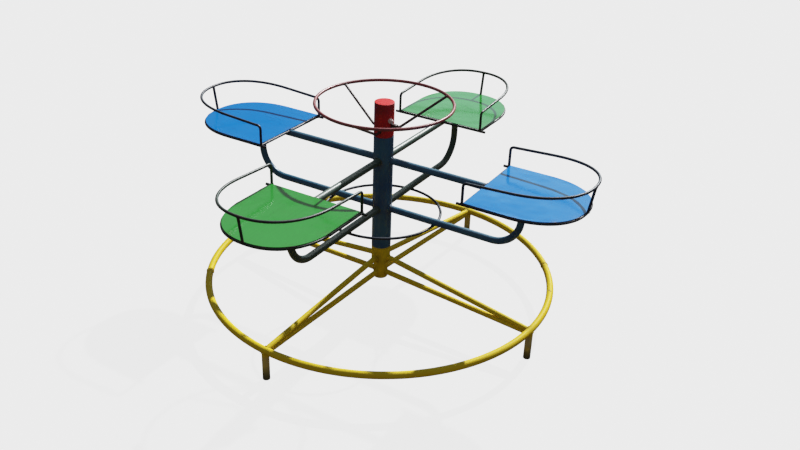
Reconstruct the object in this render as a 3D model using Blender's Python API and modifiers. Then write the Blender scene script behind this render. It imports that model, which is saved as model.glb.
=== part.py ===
# Playground carousel: a raised ring of pipe on four short legs carries a fixed post with a handwheel on top,
# and four seats on double arms turn round the post. Metres, +Z up, origin on the ground under the post.

import math

import bmesh
import bpy
from mathutils import Quaternion, Vector

# Driving dimensions, in metres

SEAM = 0.0003                  # left between two pieces that are welded or seated together

PIPE = 0.0269 / 2              # radius of the pipe of the ring, the legs and the arms
STRUT_PIPE = 0.0213 / 2        # radius of the thinner pipe of the struts
ROD = 0.010 / 2                # radius of the round bar of rails, seat frames, spokes and foot ring
WHEEL_ROD = 0.012 / 2          # radius of the round bar of the handwheel

RING_RADIUS = 0.685            # base ring, to the middle of its pipe
RING_HEIGHT = 0.122
LEG_TURN = math.radians(-4)    # the legs stand a little round from the arms, as in the photograph

POST_RADIUS = 0.057 / 2        # fixed inner post
POST_WALL = 0.0035
POST_BOTTOM = 0.106
POST_TOP = 0.800

COLUMN_RADIUS = 0.076 / 2      # turning column, bearing collar and red top share this outside size
COLUMN_WALL = 0.0035
COLLAR_RADIUS = 0.0375
COLLAR_BOTTOM = 0.180
COLLAR_TOP = 0.2440
COLUMN_BOTTOM = 0.2490
COLUMN_TOP = 0.7200
TOP_BOTTOM = 0.7250            # lower edge of the red top
TOP_HEIGHT = 0.8530
TOP_PLATE = 0.005              # thickness of the plate that closes the red top
TOP_EDGE = 0.001               # chamfer round its upper face
WASHER_RADIUS = 0.0355         # thrust face on the collar and under the red top
BUSH_TOP = 0.750               # the bush inside the red top reaches up to here

STRUT_HIGH = 0.202             # height of the upper struts at the collar
STRUT_LOW = 0.132              # height of the lower struts at the post
STRUT_DROP = 0.0105            # how far the lower struts end under the middle of the ring's pipe

WHEEL_RADIUS = 0.258
WHEEL_HEIGHT = 0.8465
SPOKE_HEIGHT = 0.745           # where a spoke leaves the red top
SPOKE_FOOT = 0.067             # how far out a spoke runs level before it rises
SPOKE_BEND = 0.018
SPOKE_TURNS = (54, 159, 277)   # the spokes aren't evenly spread, in degrees from the first arm

PLATE_BOTTOM = 0.6375          # underside of the seat plates
PLATE_THICKNESS = 0.0025
SEAT_INNER = 0.443             # straight inner edge of a seat, from the axis
SEAT_STRAIGHT = 0.600          # where the straight sides end
SEAT_OUTER = 0.820             # outermost point of the plate
SEAT_HALF_WIDTH = 0.190
SEAT_ROUNDNESS = 2.25          # 2 is an ellipse, more is squarer
FRAME_STUB = 0.027             # how far a blue seat's side rods stick out past the plate's inner edge
SILL_INSET = 0.0015            # from the plate's inner edge to the middle of the sill rod, towards the axis
SILL_STUB = 0.022              # how far a green seat's sill rod sticks out past its side rods
RAIL_INNER_HEIGHT = 0.714
RAIL_OUTER_HEIGHT = 0.736
RAIL_OUTER = 0.838
RAIL_BEND = 0.014

ARM_LOW = 0.420                # height of the lower arms
RISER = 0.585                  # distance of the riser from the axis
ARM_BEND = 0.110
ARM_END_GAP = 0.001            # the upper arm stops just short of the frame's outer rod
FOOT_RING_RADIUS = 0.230

ARM_HIGH = PLATE_BOTTOM - SEAM - PIPE
ARM_END = SEAT_OUTER - ROD - ARM_END_GAP
FRAME_HEIGHT = PLATE_BOTTOM - SEAM - ROD
FOOT_RING_HEIGHT = ARM_LOW - PIPE - SEAM - ROD
POST_BORE = POST_RADIUS + SEAM

QUARTERS = tuple(math.radians(90 * quarter) for quarter in range(4))

# Fineness of round shapes

ROUND_STEPS = 48               # sides of the column and of all that fits round it
RING_SIDES = (72, 12)          # base ring, along it and round its pipe
HOOP_SIDES = (60, 8)           # handwheel and foot ring
END_STEPS = 24                 # straight pieces round the end of a seat
MERGE = 0.00005
SHARP_ANGLE = math.radians(40)

YELLOW = (0.76, 0.62, 0.07)
BLUE = (0.05, 0.27, 0.62)
NAVY = (0.02, 0.06, 0.14)
GREEN = (0.06, 0.32, 0.11)
DARK_GREEN = (0.02, 0.07, 0.04)
RED = (0.55, 0.04, 0.05)
BLACK = (0.02, 0.02, 0.025)
SEAT_COLOURS = (BLUE, GREEN, BLUE, GREEN)
ARM_COLOURS = (NAVY, DARK_GREEN, NAVY, DARK_GREEN)


# Scene, collections and materials

for old in list(bpy.data.objects):
    bpy.data.objects.remove(old, do_unlink=True)

carousel = bpy.data.collections.new("carousel")
cutters = bpy.data.collections.new("cutters")
bpy.context.scene.collection.children.link(carousel)
bpy.context.scene.collection.children.link(cutters)

rotor_axis = bpy.data.objects.new("rotor_axis", None)
rotor_axis.location = (0, 0, COLUMN_BOTTOM)
carousel.objects.link(rotor_axis)
bpy.context.view_layer.update()


def paint(name, colour):
    material = bpy.data.materials.new(name)
    material.use_nodes = True
    shader = material.node_tree.nodes["Principled BSDF"]
    shader.inputs["Base Color"].default_value = (*colour, 1)
    shader.inputs["Roughness"].default_value = 0.35
    shader.inputs["Metallic"].default_value = 0.0
    return material


def file_in(obj, collection):
    for other in list(obj.users_collection):
        other.objects.unlink(obj)
    collection.objects.link(obj)


def finish(obj, colour, turning=False):
    """Puts a part in the carousel's collection with its own paint, and hangs a turning one on the axis."""
    obj.data.materials.clear()
    obj.data.materials.append(paint(obj.name + "_paint", colour))
    file_in(obj, carousel)
    if turning:
        obj.parent = rotor_axis
        obj.matrix_parent_inverse = rotor_axis.matrix_world.inverted()
    return obj


def as_cutter(obj):
    obj.hide_render = True
    obj.display_type = "WIRE"
    file_in(obj, cutters)
    return obj


def cut(obj, *tools):
    for tool in tools:
        boolean = obj.modifiers.new("cut_by_" + tool.name, "BOOLEAN")
        boolean.operation = "DIFFERENCE"
        boolean.solver = "EXACT"
        boolean.object = tool


def join(obj, tool):
    union = obj.modifiers.new("join_" + tool.name, "BOOLEAN")
    union.operation = "UNION"
    union.solver = "EXACT"
    union.object = tool


# Shapes

def at(radius, height, side=0.0):
    """A point in the vertical plane of an arm or a leg that lies along +X."""
    return Vector((radius, side, height))


def cylinder(name, start, end, radius, turn=0.0, sides=12):
    """A round bar between two points of the +X plane, turned about the carousel's axis."""
    axis = end - start
    bpy.ops.mesh.primitive_cylinder_add(vertices=sides, radius=radius, depth=axis.length)
    obj = bpy.context.object
    obj.name = name
    around = Quaternion((0, 0, 1), turn)
    obj.rotation_mode = "QUATERNION"
    obj.rotation_quaternion = around @ axis.to_track_quat("Z", "Y")
    obj.location = around @ ((start + end) / 2)
    obj.data.shade_smooth()
    obj.data.set_sharp_from_angle(angle=SHARP_ANGLE)
    return obj


def hoop(name, ring_radius, rod_radius, height, sides):
    bpy.ops.mesh.primitive_torus_add(
        major_segments=sides[0], minor_segments=sides[1], major_radius=ring_radius, minor_radius=rod_radius,
        location=(0, 0, height))
    obj = bpy.context.object
    obj.name = name
    obj.data.shade_smooth()
    return obj


def turned(name, profile, closed):
    """A profile of (radius, height) points, top to bottom on its outer side, turned about the axis."""
    mesh = bpy.data.meshes.new(name)
    edges = [(i, i + 1) for i in range(len(profile) - 1)]
    if closed:
        edges.append((len(profile) - 1, 0))
    mesh.from_pydata([(radius, 0, height) for radius, height in profile], edges, [])
    obj = bpy.data.objects.new(name, mesh)
    carousel.objects.link(obj)
    screw = obj.modifiers.new("turn", "SCREW")
    screw.steps = ROUND_STEPS
    screw.render_steps = ROUND_STEPS
    screw.use_merge_vertices = True
    screw.merge_threshold = MERGE
    return obj


def curve(name, points, radius, turn=0.0, resolution=2):
    """A bent bar along a list of points, with closed ends."""
    data = bpy.data.curves.new(name, "CURVE")
    data.dimensions = "3D"
    data.bevel_depth = radius
    data.bevel_resolution = resolution
    data.use_fill_caps = True
    spline = data.splines.new("POLY")
    spline.points.add(len(points) - 1)
    for place, point in zip(spline.points, points):
        place.co = (*point, 1)
    obj = bpy.data.objects.new(name, data)
    obj.rotation_euler.z = turn
    carousel.objects.link(obj)
    return obj


def meshed(bent):
    """The curve as a mesh with its end caps welded on, so that it can be cut."""
    bpy.context.view_layer.update()
    evaluated = bent.evaluated_get(bpy.context.evaluated_depsgraph_get())
    mesh = bpy.data.meshes.new_from_object(evaluated)
    welded = bmesh.new()
    welded.from_mesh(mesh)
    bmesh.ops.remove_doubles(welded, verts=welded.verts, dist=MERGE)
    bmesh.ops.recalc_face_normals(welded, faces=welded.faces)
    welded.to_mesh(mesh)
    welded.free()
    name = bent.name
    place = bent.matrix_world.copy()
    bpy.data.objects.remove(bent, do_unlink=True)
    obj = bpy.data.objects.new(name, mesh)
    obj.matrix_world = place
    carousel.objects.link(obj)
    obj.data.shade_smooth()
    obj.data.set_sharp_from_angle(angle=SHARP_ANGLE)
    return obj


def fillet(before, corner, after, radius, steps=5):
    """Points of the round bend that replaces a corner between two straight runs."""
    back = (before - corner).normalized()
    onward = (after - corner).normalized()
    half = back.angle(onward) / 2
    centre = corner + (back + onward).normalized() * (radius / math.sin(half))
    first = corner + back * (radius / math.tan(half)) - centre
    last = corner + onward * (radius / math.tan(half)) - centre
    sweep = first.angle(last)
    points = []
    for step in range(steps + 1):
        part = step / steps
        spoke = (first * math.sin((1 - part) * sweep) + last * math.sin(part * sweep)) / math.sin(sweep)
        points.append(centre + spoke)
    return points


def seat_end(outer):
    """The rounded outer end of a seat in plan, from one straight side round to the other."""
    points = []
    for step in range(END_STEPS + 1):
        angle = math.radians(-90 + 180 * step / END_STEPS)
        reach = abs(math.cos(angle)) ** (2 / SEAT_ROUNDNESS)
        swing = math.copysign(abs(math.sin(angle)) ** (2 / SEAT_ROUNDNESS), math.sin(angle))
        points.append((SEAT_STRAIGHT + (outer - SEAT_STRAIGHT) * reach, SEAT_HALF_WIDTH * swing))
    return points


# The fixed base

def base_ring():
    finish(hoop("base_ring", RING_RADIUS, PIPE, RING_HEIGHT, RING_SIDES), YELLOW)
    as_cutter(hoop("ring_cutter", RING_RADIUS, PIPE + SEAM, RING_HEIGHT, RING_SIDES))


def centre_post():
    outer, inner = POST_RADIUS, POST_RADIUS - POST_WALL
    profile = [(outer, POST_TOP), (outer, POST_BOTTOM), (inner, POST_BOTTOM), (inner, POST_TOP)]
    finish(turned("centre_post", profile, True), YELLOW)
    as_cutter(cylinder("post_cutter", at(0, 0), at(0, COLUMN_BOTTOM), POST_BORE, sides=ROUND_STEPS))


def bearing_collar():
    washer_top = COLUMN_BOTTOM - SEAM
    profile = [
        (WASHER_RADIUS, washer_top), (WASHER_RADIUS, COLLAR_TOP), (COLLAR_RADIUS, COLLAR_TOP),
        (COLLAR_RADIUS, COLLAR_BOTTOM), (POST_BORE, COLLAR_BOTTOM), (POST_BORE, washer_top)]
    finish(turned("bearing_collar", profile, True), YELLOW)
    as_cutter(cylinder("collar_cutter", at(0, 0), at(0, COLUMN_BOTTOM), COLLAR_RADIUS + SEAM, sides=ROUND_STEPS))


def red_top():
    washer_bottom = COLUMN_TOP + SEAM
    inner = COLUMN_RADIUS - COLUMN_WALL
    profile = [
        (0, TOP_HEIGHT), (COLUMN_RADIUS - TOP_EDGE, TOP_HEIGHT), (COLUMN_RADIUS, TOP_HEIGHT - TOP_EDGE),
        (COLUMN_RADIUS, TOP_BOTTOM), (WASHER_RADIUS, TOP_BOTTOM), (WASHER_RADIUS, washer_bottom),
        (POST_BORE, washer_bottom), (POST_BORE, BUSH_TOP), (inner, BUSH_TOP),
        (inner, TOP_HEIGHT - TOP_PLATE), (0, TOP_HEIGHT - TOP_PLATE)]
    finish(turned("red_top", profile, False), RED)


def leg(number, turn):
    foot = cylinder(f"leg_{number}", at(RING_RADIUS, 0), at(RING_RADIUS, RING_HEIGHT), PIPE, turn)
    cut(foot, bpy.data.objects["ring_cutter"])
    finish(foot, YELLOW)
    as_cutter(cylinder(f"leg_cutter_{number}", at(RING_RADIUS, 0), at(RING_RADIUS, RING_HEIGHT), PIPE + SEAM, turn))


def struts(number, turn):
    high_start = at(COLLAR_RADIUS - STRUT_PIPE, STRUT_HIGH)
    high_end = at(RING_RADIUS, RING_HEIGHT)
    high = cylinder(f"upper_strut_{number}", high_start, high_end, STRUT_PIPE, turn)
    cut(high, *(bpy.data.objects[name] for name in ("collar_cutter", "ring_cutter", f"leg_cutter_{number}")))
    finish(high, YELLOW)
    groove = as_cutter(cylinder(f"strut_cutter_{number}", high_start, high_end, STRUT_PIPE + SEAM, turn))
    low_start = at(POST_RADIUS - STRUT_PIPE, STRUT_LOW)
    low_end = at(RING_RADIUS - PIPE - 2 * SEAM, RING_HEIGHT - STRUT_DROP)
    low = cylinder(f"lower_strut_{number}", low_start, low_end, STRUT_PIPE, turn)
    cut(low, bpy.data.objects["post_cutter"], groove)
    finish(low, YELLOW)


def handwheel():
    finish(hoop("handwheel_ring", WHEEL_RADIUS, WHEEL_ROD, WHEEL_HEIGHT, HOOP_SIDES), RED)
    for number, degrees in enumerate(SPOKE_TURNS, 1):
        foot = at(COLUMN_RADIUS + SEAM, SPOKE_HEIGHT)
        bend = at(SPOKE_FOOT, SPOKE_HEIGHT)
        rim = at(WHEEL_RADIUS, WHEEL_HEIGHT)
        tip = rim - (rim - bend).normalized() * (WHEEL_ROD + SEAM)
        points = [foot, *fillet(foot, bend, tip, SPOKE_BEND), tip]
        finish(curve(f"handwheel_spoke_{number}", points, ROD, math.radians(degrees)), RED)


# The turning part

def column():
    outer, inner = COLUMN_RADIUS, COLUMN_RADIUS - COLUMN_WALL
    profile = [(outer, COLUMN_TOP), (outer, COLUMN_BOTTOM), (inner, COLUMN_BOTTOM), (inner, COLUMN_TOP)]
    finish(turned("column", profile, True), NAVY, turning=True)
    as_cutter(cylinder("column_cutter", at(0, 0), at(0, TOP_HEIGHT), COLUMN_RADIUS + SEAM, sides=ROUND_STEPS))


def arms(number, turn, colour):
    start = COLUMN_RADIUS - PIPE
    high_start, high_end = at(start, ARM_HIGH), at(ARM_END, ARM_HIGH)
    high = cylinder(f"upper_arm_{number}", high_start, high_end, PIPE, turn)
    cut(high, bpy.data.objects["column_cutter"])
    finish(high, colour, turning=True)
    saddle = as_cutter(cylinder(f"arm_cutter_{number}", high_start, high_end, PIPE + SEAM, turn))
    low_start, corner, low_end = at(start, ARM_LOW), at(RISER, ARM_LOW), at(RISER, ARM_HIGH)
    points = [low_start, *fillet(low_start, corner, low_end, ARM_BEND, 8), low_end]
    low = meshed(curve(f"lower_arm_{number}", points, PIPE, turn, resolution=4))
    cut(low, bpy.data.objects["column_cutter"], saddle)
    finish(low, colour, turning=True)


def foot_ring():
    finish(hoop("foot_ring", FOOT_RING_RADIUS, ROD, FOOT_RING_HEIGHT, HOOP_SIDES), NAVY, turning=True)


def seat_plate(number, turn, colour):
    outline = [(SEAT_INNER, -SEAT_HALF_WIDTH), *seat_end(SEAT_OUTER), (SEAT_INNER, SEAT_HALF_WIDTH)]
    data = bpy.data.curves.new(f"seat_plate_{number}", "CURVE")
    data.dimensions = "2D"
    data.fill_mode = "BOTH"
    data.extrude = PLATE_THICKNESS / 2
    spline = data.splines.new("POLY")
    spline.points.add(len(outline) - 1)
    spline.use_cyclic_u = True
    for place, (x, y) in zip(spline.points, outline):
        place.co = (x, y, 0, 1)
    obj = bpy.data.objects.new(f"seat_plate_{number}", data)
    obj.location.z = PLATE_BOTTOM + PLATE_THICKNESS / 2
    obj.rotation_euler.z = turn
    carousel.objects.link(obj)
    finish(obj, colour, turning=True)


def seat_frame(number, turn, colour):
    """The rod bent round under the plate's edge, and the sill rod that closes it on both sides of the arm."""
    sill = SEAT_INNER - SILL_INSET
    if colour == BLUE:
        side_start, sill_end = SEAT_INNER - FRAME_STUB, SEAT_HALF_WIDTH
    else:
        side_start, sill_end = sill, SEAT_HALF_WIDTH + SILL_STUB
    plan = [(side_start, -SEAT_HALF_WIDTH), *seat_end(SEAT_OUTER), (side_start, SEAT_HALF_WIDTH)]
    frame = meshed(curve(f"seat_frame_{number}", [at(x, FRAME_HEIGHT, y) for x, y in plan], ROD, turn))
    ends = [at(sill, FRAME_HEIGHT, side * sill_end) for side in (-1, 1)]
    join(frame, as_cutter(cylinder(f"sill_{number}", *ends, ROD - SEAM, turn, sides=10)))
    cut(frame, bpy.data.objects[f"arm_cutter_{number}"])
    finish(frame, BLACK, turning=True)


def seat_rail(number, turn):
    """The rail and its two inner posts, one bent bar that rises towards the outer end."""
    inner = SEAT_INNER - ROD - 2 * SEAM
    slope = (RAIL_OUTER_HEIGHT - RAIL_INNER_HEIGHT) / (RAIL_OUTER - inner)
    foot_height = FRAME_HEIGHT + ROD + SEAM
    top = [at(x, RAIL_INNER_HEIGHT + slope * (x - inner), y) for x, y in seat_end(RAIL_OUTER)]
    feet = [at(inner, foot_height, side * SEAT_HALF_WIDTH) for side in (-1, 1)]
    corners = [at(inner, RAIL_INNER_HEIGHT, side * SEAT_HALF_WIDTH) for side in (-1, 1)]
    points = [
        feet[0], *fillet(feet[0], corners[0], top[0], RAIL_BEND), *top,
        *fillet(top[-1], corners[1], feet[1], RAIL_BEND), feet[1]]
    finish(curve(f"seat_rail_{number}", points, ROD, turn), BLACK, turning=True)


def back_post(number, turn):
    """The post in the middle of the seat's outer end, leaning out from the frame to the rail."""
    foot = at(SEAT_OUTER + ROD + 4 * SEAM, FRAME_HEIGHT + ROD + SEAM)
    head = at(RAIL_OUTER, RAIL_OUTER_HEIGHT)
    head -= (head - foot).normalized() * (ROD + 2 * SEAM)
    finish(cylinder(f"back_post_{number}", foot, head, ROD, turn, sides=8), BLACK, turning=True)


base_ring()
centre_post()
bearing_collar()
red_top()
for index, quarter in enumerate(QUARTERS, 1):
    leg(index, quarter + LEG_TURN)
    struts(index, quarter + LEG_TURN)
handwheel()

column()
foot_ring()
for index, quarter in enumerate(QUARTERS, 1):
    arms(index, quarter, ARM_COLOURS[index - 1])
    seat_plate(index, quarter, SEAT_COLOURS[index - 1])
    seat_frame(index, quarter, SEAT_COLOURS[index - 1])
    seat_rail(index, quarter)
    back_post(index, quarter)
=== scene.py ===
# Playground carousel: smooth bars, welds, worn enamel and the photograph's view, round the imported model.
# Lengths are in metres, angles in degrees unless a name says otherwise.

from math import copysign, cos, exp, hypot, pi, radians, sin, sqrt, tan

import bmesh
import bpy
import numpy as np
from mathutils import Matrix, Quaternion, Vector, kdtree


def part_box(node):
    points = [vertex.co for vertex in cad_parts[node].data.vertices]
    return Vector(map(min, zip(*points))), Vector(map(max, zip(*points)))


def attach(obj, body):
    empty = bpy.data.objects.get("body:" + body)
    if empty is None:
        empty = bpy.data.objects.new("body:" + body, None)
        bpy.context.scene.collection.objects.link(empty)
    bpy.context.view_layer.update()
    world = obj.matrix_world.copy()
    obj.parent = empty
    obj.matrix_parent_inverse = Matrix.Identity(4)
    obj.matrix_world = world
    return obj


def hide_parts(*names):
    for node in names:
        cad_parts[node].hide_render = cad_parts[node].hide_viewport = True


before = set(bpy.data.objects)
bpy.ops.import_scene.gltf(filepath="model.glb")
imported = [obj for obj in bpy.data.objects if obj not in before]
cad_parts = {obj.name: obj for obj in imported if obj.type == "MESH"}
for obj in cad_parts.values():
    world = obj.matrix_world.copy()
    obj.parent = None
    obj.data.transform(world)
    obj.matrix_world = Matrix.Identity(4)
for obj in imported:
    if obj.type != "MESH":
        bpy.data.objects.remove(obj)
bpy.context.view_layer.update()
scene = bpy.context.scene
print("frame loaded with", len(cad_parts), "nodes")


# Small helpers for objects and node trees

def linked(name, data):
    obj = bpy.data.objects.new(name, data)
    scene.collection.objects.link(obj)
    return obj


class Nodes:
    # adds nodes to one tree and gives their outputs; an input is a number, a colour or another node's output
    def __init__(self, tree):
        self.tree = tree

    def add(self, kind, inputs=None, **settings):
        made = self.tree.nodes.new(kind)
        for key, value in settings.items():
            setattr(made, key, value)
        for key, value in (inputs or {}).items():
            if isinstance(value, bpy.types.NodeSocket):
                self.tree.links.new(value, made.inputs[key])
            else:
                made.inputs[key].default_value = value
        return made.outputs

    def shade(self, kind, inputs=None, **settings):
        return self.add("ShaderNode" + kind, inputs, **settings)

    def geo(self, kind, inputs=None, **settings):
        return self.add("GeometryNode" + kind, inputs, **settings)

    def maths(self, operation, a, b=0.0, clamp=False):
        return self.shade("Math", {0: a, 1: b}, operation=operation, use_clamp=clamp)[0]

    def plus(self, a, b, clamp=False):
        return self.maths("ADD", a, b, clamp)

    def minus(self, a, b):
        return self.maths("SUBTRACT", a, b)

    def times(self, a, b, clamp=False):
        return self.maths("MULTIPLY", a, b, clamp)

    def ramp(self, value, low, high, least=0.0, most=1.0, kind="SMOOTHSTEP"):
        inputs = {"Value": value, 1: low, 2: high, 3: least, 4: most}
        return self.shade("MapRange", inputs, interpolation_type=kind)[0]

    def mixed(self, share, *pair):
        first, second = (c if isinstance(c, bpy.types.NodeSocket) else (*c, 1) for c in pair)
        return self.shade("Mix", {0: share, 6: first, 7: second}, data_type="RGBA")[2]

    def scaled(self, vector, factor):
        return self.shade("VectorMath", {0: vector, "Scale": factor}, operation="SCALE")[0]

    def combined(self, x=0.0, y=0.0, z=0.0):
        return self.shade("CombineXYZ", {0: x, 1: y, 2: z})[0]

    def parts(self, vector):
        return self.shade("SeparateXYZ", {0: vector})

    def noise(self, place, scale, detail=2.0, roughness=0.5):
        inputs = {"Vector": place, "Scale": scale, "Detail": detail, "Roughness": roughness}
        return self.shade("TexNoise", inputs)["Fac"]

    def position(self):
        return self.geo("InputPosition")[0]

    def smoothed(self, geometry):
        return self.geo("SetShadeSmooth", {"Geometry": geometry, "Shade Smooth": True})[0]

    def stored(self, geometry, label, value, kind="FLOAT_VECTOR"):
        inputs = {"Geometry": geometry, "Name": label, "Value": value}
        return self.geo("StoreNamedAttribute", inputs, data_type=kind, domain="POINT")[0]

    def captured(self, geometry, **fields):
        # each field is its kind and its value, kept on the points before they move
        kept = self.tree.nodes.new("GeometryNodeCaptureAttribute")
        kept.domain = "POINT"
        self.tree.links.new(geometry, kept.inputs[0])
        for label, (kind, value) in fields.items():
            kept.capture_items.new(kind, label)
            self.tree.links.new(value, kept.inputs[label])
        return kept.outputs


# Camera, floor and light

cameraLook = {
    "location": (1.6539, -2.6919, 2.0306),
    "yaw": -30.243,  # turned from +Y towards -X
    "pitch": 28.177,  # tipped down
    "roll": 2.052,
    "lens": 40.72,  # for an image 800 wide and 450 high
    "sensor": 36,
    "clip": (0.05, 300),
}

lightLook = {
    "azimuth": 92.0,  # the light comes from behind, as the shadows on the base and the seats show
    "elevation": 40.0,
    "away": 6,
    "strength": 7.0,
    "spread": 1.0,
    "sky": (0.215, 0.225, 0.245),
    "ground": (0.130, 0.094, 0.058),
    "horizon": 0.12,  # half width of the blend between them
    "mirrored": 0.60,  # how much of both the gloss of the paint shows
    # and three bright windows that it shows too, high behind the object, low behind it and round the sun:
    # azimuth, elevation, the cosines of the angles where a window begins and where it is full, and colour
    "windows": (
        (131.0, 50.0, 0.895, 0.927, (0.57, 0.61, 0.63)),
        (108.0, 8.0, 0.916, 0.971, (1.21, 1.66, 1.64)),
        (84.0, 41.0, 0.900, 0.975, (2.50, 2.65, 2.60))),
    "backdrop": 1.52,
}

floorLook = {"size": 120.0, "albedo": 0.06, "glow": 1.43}

# brightness is kept up to the knee and rolls off above it, as in a daylight photograph
toneLook = {"knee": 0.15, "white": 4.0, "samples": 15}


def pointing(azimuth, elevation):
    a, e = radians(azimuth), radians(elevation)
    return Vector((cos(a) * cos(e), sin(a) * cos(e), sin(e)))


def placeCamera(look):
    yaw, pitch = radians(look["yaw"]), radians(look["pitch"])
    forward = Vector((sin(yaw) * cos(pitch), cos(yaw) * cos(pitch), -sin(pitch)))
    data = bpy.data.cameras.new("camera")
    data.lens = look["lens"]
    data.sensor_width = look["sensor"]
    data.clip_start, data.clip_end = look["clip"]
    camera = linked("camera", data)
    camera.location = look["location"]
    camera.rotation_mode = "QUATERNION"
    rolled = Quaternion((0, 0, 1), radians(look["roll"]))
    camera.rotation_quaternion = forward.to_track_quat("-Z", "Y") @ rolled
    scene.camera = camera


def placeSun(look):
    sun = bpy.data.lights.new("key_light", "SUN")
    sun.energy = look["strength"]
    sun.angle = radians(look["spread"])
    lamp = linked("key_light", sun)
    towards = pointing(look["azimuth"], look["elevation"])
    lamp.rotation_mode = "QUATERNION"
    lamp.rotation_quaternion = towards.to_track_quat("Z", "Y")
    lamp.location = towards * look["away"]


def paintSky(look):
    world = bpy.data.worlds.new("studio")
    world.use_nodes = True
    world.node_tree.nodes.clear()
    n = Nodes(world.node_tree)
    direction = n.shade("TexCoord")["Generated"]
    blend = n.ramp(n.parts(direction)["Z"], -look["horizon"], look["horizon"], kind="LINEAR")
    ray = n.shade("LightPath")
    gloss = ray["Is Glossy Ray"]
    dim = n.shade("Math", {0: gloss, 1: look["mirrored"] - 1, 2: 1.0}, operation="MULTIPLY_ADD")[0]
    shown = n.scaled(n.mixed(blend, look["ground"], look["sky"]), dim)
    for azimuth, elevation, start, full, tint in look["windows"]:
        inputs = {0: direction, 1: tuple(pointing(azimuth, elevation))}
        near = n.shade("VectorMath", inputs, operation="DOT_PRODUCT")["Value"]
        shown = n.mixed(n.times(n.ramp(near, start, full), gloss), shown, tint)
    seen = n.mixed(ray["Is Camera Ray"], shown, (look["backdrop"],) * 3)
    n.shade("OutputWorld", {"Surface": n.shade("Background", {"Color": seen})[0]})
    scene.world = world


def layFloor(look):
    half = look["size"] / 2
    corners = [(-half, -half, 0), (half, -half, 0), (half, half, 0), (-half, half, 0)]
    mesh = bpy.data.meshes.new("floor")
    mesh.from_pydata(corners, [], [(0, 1, 2, 3)])
    floor = linked("floor", mesh)
    pale = bpy.data.materials.new("paleFloor")
    pale.use_nodes = True
    shader = pale.node_tree.nodes["Principled BSDF"].inputs
    shader["Base Color"].default_value = (*[look["albedo"]] * 3, 1)
    shader["Roughness"].default_value = 1.0
    shader["Specular IOR Level"].default_value = 0.0
    shader["Emission Color"].default_value = (1, 1, 1, 1)
    shader["Emission Strength"].default_value = look["glow"]
    mesh.materials.append(pale)
    # the floor lights nothing, so the undersides stay as dark as in the photograph
    floor.visible_diffuse = False
    floor.visible_glossy = False


def setTone(look):
    view = scene.view_settings
    view.view_transform = "Standard"
    view.use_curve_mapping = True
    view.curve_mapping.white_level = (look["white"],) * 3
    curve = view.curve_mapping.curves[3]
    knee, room = look["knee"], 1 - look["knee"]
    for index in range(look["samples"] + 1):
        value = knee + (look["white"] - knee) * (index / look["samples"]) ** 2
        shown = knee + room * (1 - exp((knee - value) / room))
        point = curve.points.new(value / look["white"], shown)
        if index == 0:
            point.handle_type = "VECTOR"
    curve.points.remove(curve.points[-1])
    view.curve_mapping.update()


placeCamera(cameraLook)
placeSun(lightLook)
paintSky(lightLook)
layFloor(floorLook)
setTone(toneLook)
print("camera, floor and light placed")


# Paints: hand-brushed enamel over steel, with chips, rust at the welds, dust on top, soil near the ground and
# painted sunlight on faces that look up

usualPaint = {
    "gloss": 0.5, "spread": 0.20, "relief": 1.0, "chips": 0.63, "stain": 0.45, "dust": 0.03, "splash": 0.0}
rodPaint = {"under": (0.06, 0.05, 0.045), "roughness": 0.42, "gloss": 0.38, "chips": 0.64, "stain": 0.50}
seatPaint = {"roughness": 0.13, "spread": 0.08, "relief": 0.12, "chips": 0.68, "stain": 0.25}

# colour in the shade, a lighter colour laid on faces that look up as painted sunlight and in random faded
# patches, and under both where a chip hasn't rusted
paints = {
    "yellowEnamel": {
        "colour": (0.690, 0.455, 0.007), "litAndFaded": (0.685, 0.520, 0.009), "under": (0.22, 0.17, 0.10),
        "roughness": 0.55, "gloss": 0.15, "stain": 0.75, "splash": 0.95},
    "redEnamel": {
        "colour": (0.225, 0.015, 0.020), "litAndFaded": (0.800, 0.014, 0.014), "under": (0.16, 0.10, 0.08),
        "roughness": 0.54, "gloss": 0.15, "chips": 0.62, "dust": 0.01},
    "wheelEnamel": {
        "colour": (0.180, 0.024, 0.030), "litAndFaded": (0.260, 0.042, 0.050), "under": (0.12, 0.08, 0.06),
        "roughness": 0.36, "dust": 0.05},
    "darkRedEnamel": {
        "colour": (0.032, 0.012, 0.010), "litAndFaded": (0.052, 0.021, 0.017), "under": (0.08, 0.05, 0.04),
        "roughness": 0.42},
    "boltEnamel": {
        "colour": (0.600, 0.400, 0.385), "litAndFaded": (0.800, 0.620, 0.600), "under": (0.16, 0.11, 0.09),
        "roughness": 0.34, "chips": 0.62, "dust": 0.02},
    "navyEnamel": {
        "colour": (0.012, 0.064, 0.155), "litAndFaded": (0.036, 0.140, 0.215), "under": (0.08, 0.07, 0.06),
        "roughness": 0.32, "stain": 0.60, "dust": 0.05, "splash": 0.15},
    "darkGreenEnamel": {
        "colour": (0.017, 0.047, 0.036), "litAndFaded": (0.055, 0.095, 0.078), "under": (0.08, 0.07, 0.06),
        "roughness": 0.37, "spread": 0.16, "stain": 0.60, "dust": 0.12},
    "navyRodEnamel": {
        **rodPaint, "colour": (0.006, 0.010, 0.021), "litAndFaded": (0.012, 0.021, 0.040)},
    "darkGreenRodEnamel": {
        **rodPaint, "colour": (0.006, 0.014, 0.010), "litAndFaded": (0.014, 0.030, 0.022), "dust": 0.05},
    "blueSeatEnamel": {
        **seatPaint, "colour": (0.002, 0.162, 0.530), "litAndFaded": (0.004, 0.175, 0.560),
        "under": (0.10, 0.22, 0.36), "dust": 0.008},
    "greenSeatEnamel": {
        **seatPaint, "colour": (0.020, 0.215, 0.025), "litAndFaded": (0.025, 0.245, 0.033),
        "under": (0.16, 0.26, 0.16), "dust": 0.010},
}

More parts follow.
